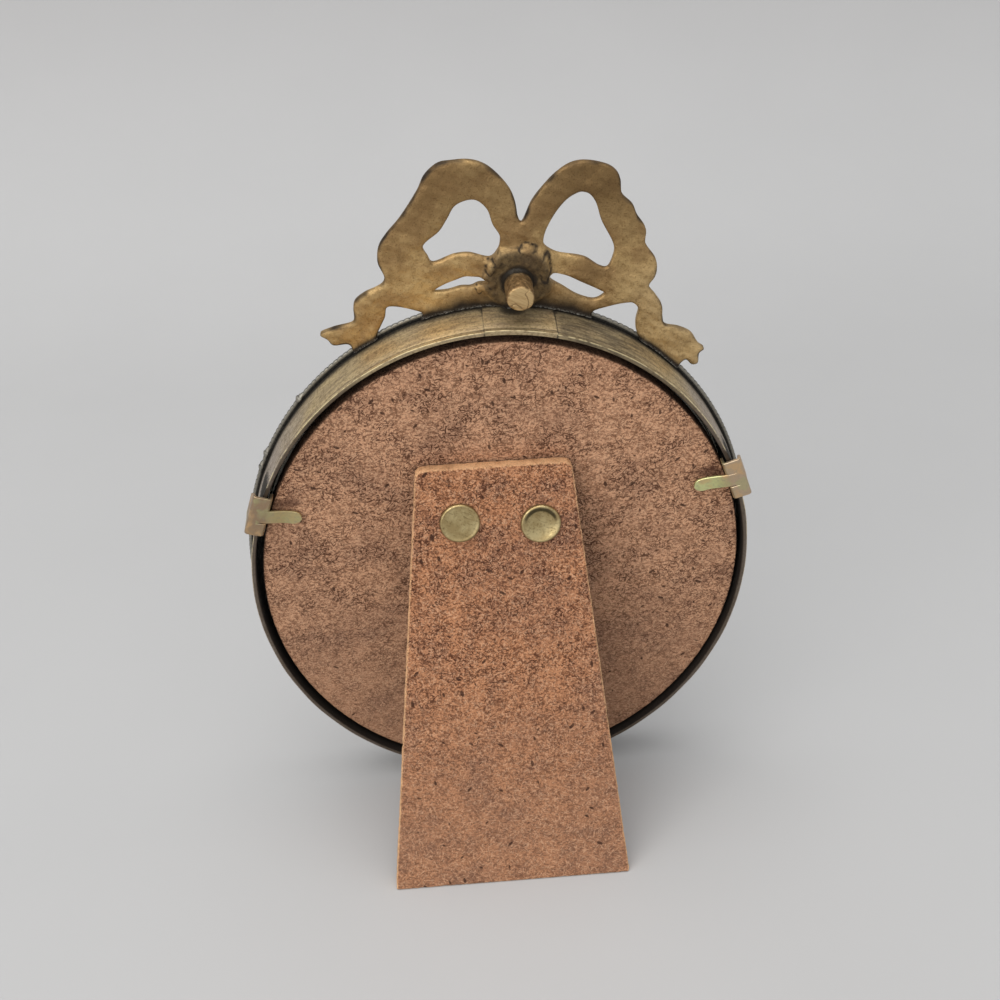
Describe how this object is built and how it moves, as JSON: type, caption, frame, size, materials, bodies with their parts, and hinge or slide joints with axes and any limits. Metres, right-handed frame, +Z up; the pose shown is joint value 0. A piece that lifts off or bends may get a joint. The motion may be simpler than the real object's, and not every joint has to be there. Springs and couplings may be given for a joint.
{
  "type": "oval picture frame",
  "caption": "Small oval brass table frame with a ribbon bow crest, glass, sprung rear clips and a hardboard back that carries a hinged easel leg.",
  "frame": {"origin": "middle of the bounding box, on the table that the frame stands on", "axes": "+Z up, -Y out of the glass towards the viewer, +X to the left as seen from behind; the frame leans back by 11.5 degrees"},
  "size_m": [0.0916, 0.0418, 0.1352],
  "materials": {
    "gilt_brass": "aged satin",
    "worn_brass": "worn and streaked",
    "pale_brass": "polished",
    "hardboard": "rough fibre",
    "glass": "clear",
    "paper": "matt paper",
    "grey_card": "matt card",
    "hinge_steel": "dull",
    "plated_steel": "yellow plated"
  },
  "bodies": {
    "frame": {"front_moulding": "gilt_brass", "rim_band": "worn_brass", "band_splice": "worn_brass", "glass": "glass", "picture_card": "paper", "filler_card": "grey_card", "bow_crest": "gilt_brass", "bow_stud": "gilt_brass"},
    "back": {"back_board": "hardboard", "hinge_board_leaf": "hinge_steel", "hinge_pin": "hinge_steel", "board_rivet_left": "hinge_steel", "board_rivet_right": "hinge_steel"},
    "leg": {"easel_leg": "hardboard", "hinge_leg_leaf": "hinge_steel", "leg_rivet_left": "pale_brass", "leg_rivet_right": "pale_brass"},
    "left_clip": {"clip_left": "plated_steel"},
    "right_clip": {"clip_right": "plated_steel"}
  },
  "joints": [
    {"name": "back_slide", "type": "slide", "parent": "frame", "child": "back", "axis": [0, 0.9799, -0.1994], "range_m": [0, 0.015]},
    {"name": "leg_fold", "type": "hinge", "parent": "back", "child": "leg", "pos_m": [0.0005, 0.00393, 0.07573], "axis": [1, 0, 0], "range_deg": [-21, 0]},
    {"name": "clip_left_pull", "type": "slide", "parent": "frame", "child": "left_clip", "axis": [0, 0.9799, -0.1994], "range_m": [0, 0.015]},
    {"name": "clip_right_pull", "type": "slide", "parent": "frame", "child": "right_clip", "axis": [0, 0.9799, -0.1994], "range_m": [0, 0.015]}
  ],
  "couplings": [
    {"joint": "clip_left_pull", "follows": "back_slide", "ratio": 1},
    {"joint": "clip_right_pull", "follows": "back_slide", "ratio": 1}
  ]
}
